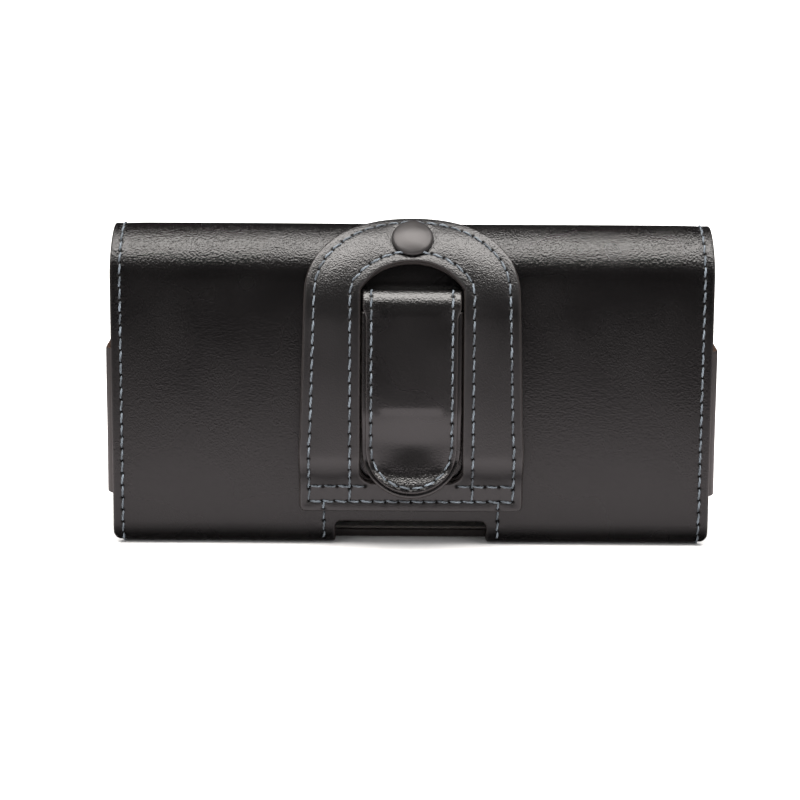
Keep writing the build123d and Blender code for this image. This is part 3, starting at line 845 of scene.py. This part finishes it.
# Back panel: from the seam, round the push-out slot, up the back and over the roll.
SLOT_HALF, SLOT_CORNER, SLOT_ROW_X = 21.6, 1.5, 24.8
side = wrap_side(millimetre_steps(s_seam, s_join))
back_loop = outline(side + mirrored(side), 1.1)
slot_low, slot_top = s_seam + 7.0, s_back + 1.0
slot_side = [(SLOT_HALF, slot_low)]
slot_side += arc_points((SLOT_HALF - SLOT_CORNER, slot_top - SLOT_CORNER), SLOT_CORNER, 0, 90, 6)
slot_loop = opening(slot_side + mirrored(slot_side), 1.0)
slot_rows = [needle_holes([(x, s_back - 5.5), (x, s_back + 4.6)], 3.4) for x in (-SLOT_ROW_X, SLOT_ROW_X)]
row = stitch_side(np.linspace(s_seam + 3.0, s_join, 80))
side_rows = [needle_holes([(-x, s) for x, s in row]), needle_holes(row)]
back_rows = side_rows + slot_rows
hide_back = hide_sheet("hide_back", [back_loop, slot_loop], back_rows, meets_round_back, wrap_bend)

# Flap: from the top of the roll to the tip.
FLAP_CORNER = 14.0
corner_at = (HALF_WIDTH - FLAP_CORNER, s_tip - FLAP_CORNER)
s_flap = np.linspace(s_join, s_tip - FLAP_CORNER, 60)
side = wrap_side(s_flap) + arc_points(corner_at, FLAP_CORNER, 0, 90, 24)
flap_loop = outline(side + mirrored(side), 1.2)
row = stitch_side(s_flap) + arc_points(corner_at, FLAP_CORNER - STITCH_INSET, 0, 90, 24)
flap_rows = [needle_holes(row + mirrored(row))]
hide_flap = hide_sheet("hide_flap", [flap_loop], flap_rows, meets_before_flap, wrap_bend)

lining_front = lining("lining_front", [front_loop], meets_after_front)
lining_back = lining("lining_back", [back_loop, slot_loop], meets_round_back)
lining_flap = lining("lining_flap", [flap_loop], meets_before_flap)

# --- Gussets ---

GUSSET_LOW, GUSSET_HIGH = 13.85, 56.3


def gusset(name, side):
    """One side piece: a channel 18 mm wide and open to the inside, that stands out past the hide."""
    path = Path((74, 9.0), 0).line(9).arc(4, -90).line(10).arc(4, -90).line(9)
    unevenness = waves(6.0, 0.12, 11)
    corners = [(GUSSET_LOW, 0), (GUSSET_LOW, path.length), (GUSSET_HIGH, path.length), (GUSSET_HIGH, 0)]
    return sheet(
        name, plan(path, side), [outline(corners, 0.9)], 0, 1.2, [gusset_hide, gusset_paint, flesh],
        relief=lambda uv, groove: unevenness(uv), step=1.4, round_r=0.45,
    )


gusset_left = gusset("gusset_fold_left", -1)
gusset_right = gusset("gusset_fold_right", 1)

# --- Belt loop: up from its foot, a step out over the belt, and a sweep back over the roll ---

FOOT_Y, FOOT_Z, FOLD_Z = -14.8, 10.6, 18.6
LOOP_Y = -19.3
STEP_HEIGHT = 12
CROWN_RADIUS = 16.5
SWEEP_TURN = 44
CROWN_TURN = 45
sweep = math.radians(SWEEP_TURN)
step_turn = 2 * math.degrees(math.atan((FOOT_Y - LOOP_Y) / STEP_HEIGHT))
step_radius = STEP_HEIGHT / 2 / math.sin(math.radians(step_turn))
plate = Path((FOOT_Y, FOOT_Z), 90).line(5).arc(step_radius, step_turn).arc(step_radius, -step_turn)
sweep_radius = (ROLL_Y - LOOP_Y - CROWN_RADIUS * math.cos(sweep)) / (1 - math.cos(sweep))
plate.line(ROLL_Z - (sweep_radius - CROWN_RADIUS) * math.sin(sweep) - plate.end[1])
plate.arc(sweep_radius, -SWEEP_TURN).arc(CROWN_RADIUS, -CROWN_TURN)
on_plate = shaped(section(plate), waves(9.0, 0.1, 21))

# The loop's outline is given as seen square to its swept top, v up from the fold.
FOOT_LENGTH = 24
square_view = np.array([math.sin(math.radians(40)), math.cos(math.radians(40))])
s_table = np.linspace(FOOT_LENGTH, plate.length, 1200)
v_table = plate.at(s_table)[0] @ square_view
foot_table = np.linspace(0, FOOT_LENGTH, 200)
foot_heights = plate.at(foot_table)[0][:, 1]


def foot_length(z):
    """Length along the plate of a height on its foot."""
    return float(np.interp(z, foot_heights, foot_table))


def plate_s(v):
    """Length along the plate of a height seen square to its swept top."""
    return float(np.interp(v, v_table, s_table))


FOOT_HALF, LOW_HALF, HIGH_HALF = 31.55, 31.7, 30.0
FOOT_CORNER = 1.5
SHOULDER_V, SHOULDER_RADIUS, TOP_V = 45.0, 20.0, 70.0
crown_inset = HIGH_HALF - SHOULDER_RADIUS
crown_lift = TOP_V - SHOULDER_V - SHOULDER_RADIUS
crown_gap = (crown_inset**2 + crown_lift**2) / (2 * crown_lift)
crown_radius = SHOULDER_RADIUS + crown_gap
crown_angle = math.degrees(math.asin(crown_inset / crown_gap))


def plate_side():
    """Right-hand edge of the plate from its foot to the middle of its crown."""
    side = [(FOOT_HALF, t) for t in np.linspace(FOOT_CORNER, 20, 14)]
    for v in np.linspace(v_table[0] + 0.5, SHOULDER_V, 14):
        side.append((LOW_HALF + (HIGH_HALF - LOW_HALF) * v / SHOULDER_V, plate_s(v)))
    shoulder = arc_points((crown_inset, SHOULDER_V), SHOULDER_RADIUS, 0, 90 - crown_angle, 22)
    crown = arc_points((0, TOP_V - crown_radius), crown_radius, 90 - crown_angle, 90, 26)
    side += [(x, plate_s(v)) for x, v in shoulder[1:] + crown[1:]]
    return resample(side, 0.8, closed=False)


def beside(points, distance):
    """An open line moved to its left."""
    along = np.gradient(points, axis=0)
    along /= np.linalg.norm(along, axis=1)[:, None]
    return points + distance * np.stack([-along[:, 1], along[:, 0]], 1)


WINDOW_HALF, WINDOW_CORNER = 14.5, 3.8
WINDOW_TOP, WINDOW_SHOULDER = 54.1, 46.3
window_rise = WINDOW_TOP - WINDOW_SHOULDER
window_radius = (WINDOW_HALF**2 + window_rise**2) / (2 * window_rise)


def window_line(grow, s0):
    """Window edge from the bottom right, up, over the arch and down, grown outwards."""
    half, radius = WINDOW_HALF + grow, window_radius + grow
    spread = math.degrees(math.asin(half / radius))
    arch = arc_points((0, WINDOW_TOP - window_radius), radius, 90 - spread, 90 + spread, 40)
    return [(half, s0)] + [(x, plate_s(v)) for x, v in arch] + [(-half, s0)]


plate_right = plate_side()
side = arc_points((FOOT_HALF - FOOT_CORNER, FOOT_CORNER), FOOT_CORNER, -90, 0, 8)
side += [tuple(p) for p in plate_right]
plate_loop = outline(side + mirrored(side[:-1]), 0.8)
corner_s = foot_length(FOLD_Z) + 0.3 + WINDOW_CORNER
corner_x = WINDOW_HALF - WINDOW_CORNER
window_loop = opening(
    window_line(0, corner_s)
    + arc_points((-corner_x, corner_s), WINDOW_CORNER, 180, 270, 10)[1:]
    + arc_points((corner_x, corner_s), WINDOW_CORNER, 270, 360, 10)[:-1],
    0.8,
)

s_foot_row, s_upper_row = 2.9, foot_length(18.0)
inset = beside(plate_right, 2.6)
inset[:, 0] = np.clip(inset[:, 0], 0, None)
inset[-1, 0] = 0
inset = inset[inset[:, 1] > s_foot_row]
row_x = inset[0][0]
row = [(row_x, s_foot_row)] + [tuple(p) for p in inset]
arch_rows = [
    needle_holes(row + mirrored(row[:-1])),
    needle_holes(window_line(2.9, s_foot_row)),
]
foot_rows = [
    needle_holes([(-row_x, s_foot_row), (row_x, s_foot_row)]),
    needle_holes([(row_x, s_upper_row), (13.0, s_upper_row)]),
    needle_holes([(-row_x, s_upper_row), (-13.0, s_upper_row)]),
]
foot_rows += [needle_holes([(x, 0.6), (x, s_foot_row)], 2.6) for x in (-SLOT_ROW_X, SLOT_ROW_X)]

CAP_PAST_SWEEP = 2
s_cap = plate.length - CROWN_RADIUS * math.radians(CROWN_TURN - CAP_PAST_SWEEP)


def plate_bend(uv):
    """Grows from the middle of the loop's arms to the top it sweeps over."""
    return smooth((uv[:, 1] - plate.length + 42) / 26)


def plate_relief(uv, groove):
    """Leather puffed between the two rows and pressed flat under the cap."""
    reach = np.hypot(uv[:, 0], uv[:, 1] - s_cap)
    press = smooth((9.0 - reach) / 3.0)
    puff = 0.22 * smooth((groove - 0.7) / 3.5)
    return puff * (1 - press) - 0.75 * smooth((6.9 - reach) / 1.3)


loop_outer = sheet(
    "loop_outer", on_plate, [plate_loop, window_loop], 0, 1.38, PLATE_MATS, arch_rows + foot_rows,
    relief=plate_relief, bend=plate_bend, step=1.5, round_r=0.5,
)
# The inner leather shows a little past the outer one all round, and is cut out round the stud's socket.
socket_hole = opening(arc_points((0, s_cap), 5.5, 0, 360, 49)[:-1], 0.8)
inner_loops = [
    plate_loop - 0.3 * inward(plate_loop),
    window_loop - 0.12 * inward(window_loop),
    socket_hole,
]
LOOP_DEPTH = 2.8
loop_inner = sheet("loop_inner", on_plate, inner_loops, 1.4, LOOP_DEPTH, [flesh, paint, flesh], round_r=0.5)

# --- Spring clip: from the tip of its tongue up to the fold over its top ---

TONGUE_Y, TONGUE_Z = -53.5, 27
TONGUE_RADIUS, TONGUE_TURN, CLIP_RISE = 34, 18.7, 42.64
tongue = math.radians(TONGUE_TURN)
tip_at = (TONGUE_Y + TONGUE_RADIUS * math.cos(tongue), TONGUE_Z - TONGUE_RADIUS * math.sin(tongue))
clip = Path(tip_at, 90 - TONGUE_TURN)
clip.arc(TONGUE_RADIUS, TONGUE_TURN).line(CLIP_RISE).arc(5.5, -58).arc(2.62, -122).arc(2.5, 35)
s_round = TONGUE_RADIUS * tongue + 3
s_fold = TONGUE_RADIUS * tongue + CLIP_RISE


def clip_loop(half_w, s_top, widen=0.0):
    """Outline of a cover: a half round tip below, and a little wider over the fold."""
    t = np.linspace(s_round, s_top, 60)
    side = list(zip(half_w + widen * smooth((t - s_fold + 2.5) / 3), t))
    return outline(side + mirrored(side) + arc_points((0, s_round), half_w, 180, 360, 40)[1:-1], 0.7)


clip_waves = waves(7.0, 0.08, 31)


def clip_form(uv):
    """The tongue leans out to the end of its steel, dips below it, hollows and lifts into a lip."""
    x, t = uv[:, 0], uv[:, 1]
    middle = np.exp(-((x / 6.5) ** 2))
    lean = 0.75 * smooth((s_fold - t) / 34)
    dip = (0.68 + 0.45 * middle) * smooth((s_round + 11 - t) / 10)
    hollow = 0.8 * middle * smooth((s_round + 1.5 - t) / 8.5)
    lip_radius = 25.0
    # How far up from the lip's edge, which curves less than the tip does.
    to_edge = t - s_round + 12.4 - lip_radius + np.sqrt(lip_radius**2 - x**2)
    lip = 1.3 * smooth((5.3 - to_edge) / 4.4)
    return lean - dip + hollow + lip + clip_waves(uv)


def clip_relief(uv, groove):
    """The steel printing through the cover."""
    x, t = uv[:, 0], uv[:, 1]
    across = smooth((8.9 - np.abs(x)) / 1.1)
    along = smooth((t - s_round - 10.0) / 1.6) * smooth((s_fold + 0.2 - t) / 1.4)
    return 0.3 * across * along


def clip_bend(uv):
    """1 at the fold over the top of the clip and on the lip, 0 on the flat between."""
    t = uv[:, 1]
    return np.maximum(smooth((t - s_fold + 3) / 4), smooth((s_round - 3 - t) / 5))


CLIP_ROW_HALF = 11.4
on_clip = shaped(section(clip), clip_form)
row = [(CLIP_ROW_HALF, clip.length - 5), (CLIP_ROW_HALF, s_round)]
tip_row = arc_points((0, s_round), CLIP_ROW_HALF, 360, 180, 40)[1:-1]
clip_rows = [needle_holes(row + tip_row + mirrored(row))]
clip_outer = sheet(
    "clip_outer", on_clip, [clip_loop(12.9, clip.length, 0.9)], 0, 1.2, CLIP_MATS, clip_rows,
    relief=clip_relief, bend=clip_bend, step=1.1, round_r=0.5,
)
clip_inner = sheet(
    "clip_inner", on_clip, [clip_loop(14.15, s_fold - 0.8)], 1.22, 3.2, CLIP_MATS, step=1.6, round_r=0.7
)

# --- Stitches ---

thread_front = stitches("thread_front", on_wrap, front_rows, thread, 1)
thread_back = stitches("thread_back", on_wrap, side_rows, thread, 2)
thread_slot = stitches("thread_slot", on_wrap, slot_rows, thread, 3)
thread_flap = stitches("thread_flap", on_wrap, flap_rows, thread, 4)
thread_foot = stitches("thread_foot", on_plate, foot_rows, thread, 5)
thread_loop = stitches("thread_loop", on_plate, arch_rows, thread, 6)
thread_clip = stitches("thread_clip", on_clip, clip_rows, thread, 7)
thread_front_in = stitches("thread_front_inside", on_wrap, front_rows, thread, 8, LINING_DEPTH, -1)
thread_back_in = stitches("thread_back_inside", on_wrap, side_rows, thread, 9, LINING_DEPTH, -1)
thread_flap_in = stitches("thread_flap_inside", on_wrap, flap_rows, thread, 10, LINING_DEPTH, -1)
thread_loop_in = stitches("thread_loop_inside", on_plate, arch_rows, thread, 11, LOOP_DEPTH, -1)

# --- Press stud cap ---

cap_angle = math.radians(SWEEP_TURN + CAP_PAST_SWEEP)
cap_out = np.array([0, -math.cos(cap_angle), math.sin(cap_angle)])
cap_at = np.array([0, ROLL_Y, ROLL_Z]) + cap_out * CROWN_RADIUS
rolled_edge = [(5.0, -1.0), (5.6, -0.95), (5.82, -0.75), (5.88, -0.5), (5.85, -0.25), (5.76, 0.0), (5.6, 0.2)]
dome = [(r, 0.35 + 1.1 * (1 - (r / 5.35) ** 2)) for r in (5.2, 4.8, 4.2, 3.5, 2.7, 1.9, 1.1, 0.5, 0.1)]
cap = lathe("cap_dome", rolled_edge + dome, cap_at, cap_out, gunmetal)

# --- Bodies ---

# Sheets that cross a joint have their placing baked into their meshes and are attached to no body.
for obj in (hide_back, lining_back, thread_back, thread_back_in):
    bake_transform(obj)
for obj in (hide_flap, lining_flap, thread_flap, thread_flap_in):
    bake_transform(obj)
for obj in (loop_outer, loop_inner, thread_loop, thread_loop_in):
    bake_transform(obj)
for obj in (clip_outer, thread_clip):
    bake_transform(obj)
for obj in (hide_front, lining_front, thread_front, thread_front_in, thread_slot, thread_foot):
    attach(obj, "case")
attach(gusset_left, "case")
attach(gusset_right, "case")
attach(clip_inner, "clip")
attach(cap, "belt_loop")

back_nodes = ("shell_leather", "back_board", "base_board", "flap_top_leather", "flap_top_board")
back_threads = ("shell_thread", "flap_top_thread")
loop_threads = ("loop_edge_thread", "loop_window_thread")
for obj, nodes, slot in (
    (hide_front, ("front_board",), "leather"),
    (hide_back, back_nodes, "leather"),
    (hide_flap, ("flap_leather", "flap_board"), "leather"),
    (lining_front, ("shell_lining",), "lining"),
    (lining_back, ("shell_lining", "flap_top_lining"), "lining"),
    (lining_flap, ("flap_lining",), "lining"),
    (gusset_left, ("gusset_left",), "gusset_leather"),
    (gusset_right, ("gusset_right",), "gusset_leather"),
    (loop_outer, ("loop_leather", "loop_foot"), "leather"),
    (loop_inner, ("loop_backing", "loop_foot_backing"), "inner_leather"),
    (clip_outer, ("clip_cover_outer", "clip_cover_back"), "leather"),
    (clip_inner, ("clip_cover_inner", "clip_filler"), "inner_leather"),
    (thread_front, ("shell_thread",), "thread"),
    (thread_front_in, ("shell_thread",), "thread"),
    (thread_back, back_threads, "thread"),
    (thread_back_in, back_threads, "thread"),
    (thread_slot, ("slot_thread",), "thread"),
    (thread_flap, ("flap_thread",), "thread"),
    (thread_flap_in, ("flap_thread",), "thread"),
    (thread_foot, ("loop_base_thread",), "thread"),
    (thread_loop, loop_threads, "thread"),
    (thread_loop_in, loop_threads, "thread"),
    (thread_clip, ("clip_thread",), "thread"),
    (cap, ("snap_cap",), "cap_finish"),
):
    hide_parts(*nodes)

# The rest of the hardware keeps its CAD shapes.
steel_nodes = ("clip_base", "clip_spring", "flap_magnet", "pocket_keeper")
nickel_nodes = ("clip_rivet_lower", "clip_rivet_upper", "snap_socket", "snap_stud", "snap_back")
for mat, names in ((steel, steel_nodes), (nickel, nickel_nodes)):
    for name in names:
        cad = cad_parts[name]
        cad.data.materials.clear()
        cad.data.materials.append(mat)

# --- Stage ---


def paper(name, base):
    """White studio paper; the leather mirrors a painted pool of light on it, with painted shadow close to the
    case.
    """
    mat, tree, bsdf, _ = new_material(name)
    glossy = node(tree, "ShaderNodeLightPath").outputs["Is Glossy Ray"]
    where = node(tree, "ShaderNodeNewGeometry").outputs["Position"]
    tint = blend_color(tree, noise(tree, where, 3.0, 3.0), rgba(base, 0.99), rgba(base))
    tree.links.new(tint, bsdf.inputs["Base Color"])
    tree.links.new(tint, bsdf.inputs["Emission Color"])
    away = vector(tree, "LENGTH", vector(tree, "MULTIPLY", where, (0.7, 1.0, 0.0)), out="Value")
    tree.links.new(ramp(tree, away, 0.25, 1.0, 0.0, 1.0), bsdf.inputs["Emission Strength"])
    bsdf.inputs["Roughness"].default_value = 0.9
    bsdf.inputs["Specular IOR Level"].default_value = 0.1

    # Painted shadow: the pool that glossy rays see is darkened close to the case's footprint.
    footprint = (0.087, 0.012, 1.0)
    past = vector(tree, "SUBTRACT", vector(tree, "ABSOLUTE", where), footprint)
    gap = vector(tree, "LENGTH", vector(tree, "MAXIMUM", past), out="Value")
    painted_shadow = maths(tree, "EXPONENT", maths(tree, "MULTIPLY", gap, -50.0))
    near = ramp(tree, painted_shadow, 0.0, 1.0, 1.0, 0.02)
    # Painted reflection: a warm pool of light that glows only for glossy rays, not a real lamp.
    painted_pool = ramp(tree, away, 0.15, 0.25, 1.52, 0.0, "SMOOTHSTEP")
    painted_glow = {"Color": rgba((0.97, 0.875, 0.885)), "Strength": maths(tree, "MULTIPLY", near, painted_pool)}
    painted_reflection = node(tree, "ShaderNodeEmission", painted_glow).outputs[0]
    mix = node(tree, "ShaderNodeMixShader", {0: glossy, 1: bsdf.outputs[0], 2: painted_reflection})
    tree.links.new(mix.outputs[0], tree.nodes["Material Output"].inputs["Surface"])
    return mat


def soft_light(name, place, target, width, height, power, color=(1, 1, 1), mirrored_in_leather=True):
    data = bpy.data.lights.new(name, "AREA")
    data.shape = "RECTANGLE"
    data.size, data.size_y = width, height
    data.energy = power
    data.color = color
    obj = bpy.data.objects.new(name, data)
    obj.location = place
    obj.rotation_euler = (Vector(target) - Vector(place)).to_track_quat("-Z", "Y").to_euler()
    obj.visible_glossy = mirrored_in_leather
    bpy.context.scene.collection.objects.link(obj)


def fill_light(name, place, width, height, power):
    """A light that the leather doesn't mirror."""
    soft_light(name, place, (0, 0, 0.05), width, height, power, mirrored_in_leather=False)


def studio_world():
    """White to the camera, and nearly black to the leather's reflections."""
    world = bpy.data.worlds.new("studio")
    world.use_nodes = True
    tree = world.node_tree
    rays = node(tree, "ShaderNodeLightPath").outputs
    seen = ramp(tree, rays["Is Camera Ray"], 0, 1, 0.25, 0.985)
    mirrored_less = ramp(tree, rays["Is Glossy Ray"], 0, 1, 0, 0.24)
    background = tree.nodes["Background"]
    background.inputs["Color"].default_value = (1, 1, 1, 1)
    tree.links.new(maths(tree, "SUBTRACT", seen, mirrored_less), background.inputs["Strength"])
    return world


def photo_camera(place, pitch, roll):
    """A long lens in front of the case, pitched down and rolled by angles in degrees."""
    pitch, roll = math.radians(pitch), math.radians(roll)
    look = Vector((0, math.cos(pitch), -math.sin(pitch)))
    level_up = Vector((0, math.sin(pitch), math.cos(pitch)))
    level_right = Vector((1, 0, 0))
    right = level_right * math.cos(roll) + level_up * math.sin(roll)
    up = level_up * math.cos(roll) - level_right * math.sin(roll)
    data = bpy.data.cameras.new("camera")
    data.sensor_width = 36
    data.lens = 120.9
    data.clip_start = 0.05
    camera = bpy.data.objects.new("camera", data)
    bpy.context.scene.collection.objects.link(camera)
    columns = (right, up, -look, Vector(place))
    camera.matrix_world = Matrix([[column[i] for column in columns] for i in range(3)] + [[0, 0, 0, 1]])
    return camera


bpy.ops.mesh.primitive_plane_add(size=14, location=(0, 3, -0.0002))
floor = bpy.context.object
floor.name = "floor"
floor.data.materials.append(paper("studio_paper", (0.93, 0.93, 0.93)))
soft_light("overhead", (0.0, -0.24, 1.0), (0, -0.05, 0.08), 1.6, 0.8, 31.0, (1, 0.965, 0.935))
fill_light("front_left", (-0.9, -1.1, 0.8), 0.8, 0.8, 4.0)
fill_light("front_right", (0.9, -1.0, 0.7), 0.8, 0.8, 3.5)
fill_light("behind", (0.0, 1.1, 0.7), 1.4, 0.6, 10.0)
bpy.context.scene.world = studio_world()
bpy.context.scene.camera = photo_camera((-0.00325, -0.7559, 0.2006), 12, 0.35)
bpy.context.scene.view_settings.view_transform = "Standard"
